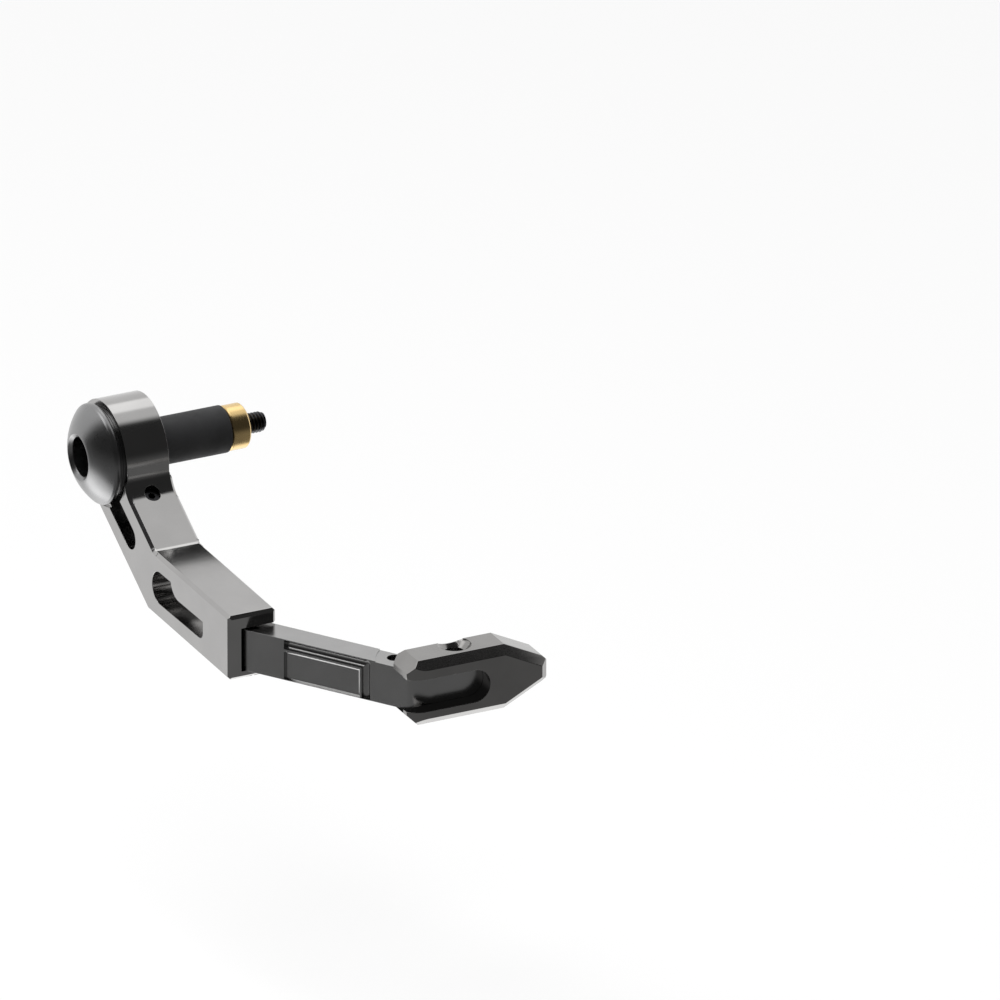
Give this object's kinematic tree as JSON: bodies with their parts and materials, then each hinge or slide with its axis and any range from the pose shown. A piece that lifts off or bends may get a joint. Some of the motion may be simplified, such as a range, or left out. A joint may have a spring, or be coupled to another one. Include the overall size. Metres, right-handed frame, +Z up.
{
  "type": "brake lever guard",
  "caption": "Bar-end lever guard: a split clamp arm, an angled link and a bevelled tip that reach round a brake lever's end.",
  "frame": {"origin": "on the handlebar's axis, at the plane of the bar's end", "axes": "+X along the bar, inwards; -Y forward, the way the guard reaches; +Z up"},
  "size_m": [0.0824, 0.1511, 0.0531],
  "materials": {
    "dark_anodised": "dark grey anodised, satin",
    "tip_anodised": "dark grey anodised, polished bevels",
    "grey_anodised": "titanium grey anodised, polished",
    "black_steel": "black oxide",
    "bung_rubber": "matt",
    "nut_brass": "turned"
  },
  "bodies": {
    "bar_end": {"end_cap": "dark_anodised", "cap_bolt": "black_steel", "expander_bung": "bung_rubber", "cone_nut": "nut_brass"},
    "guard": {"arm_bracket": "grey_anodised", "clamp_screw": "black_steel", "link_blade": "dark_anodised", "link_screws": "black_steel", "guard_tip": "tip_anodised", "tip_screw": "black_steel"}
  },
  "joints": [
    {"name": "guard_swivel", "type": "hinge", "parent": "bar_end", "child": "guard", "pos_m": [0, 0, 0], "axis": [1, 0, 0], "continuous": true}
  ]
}
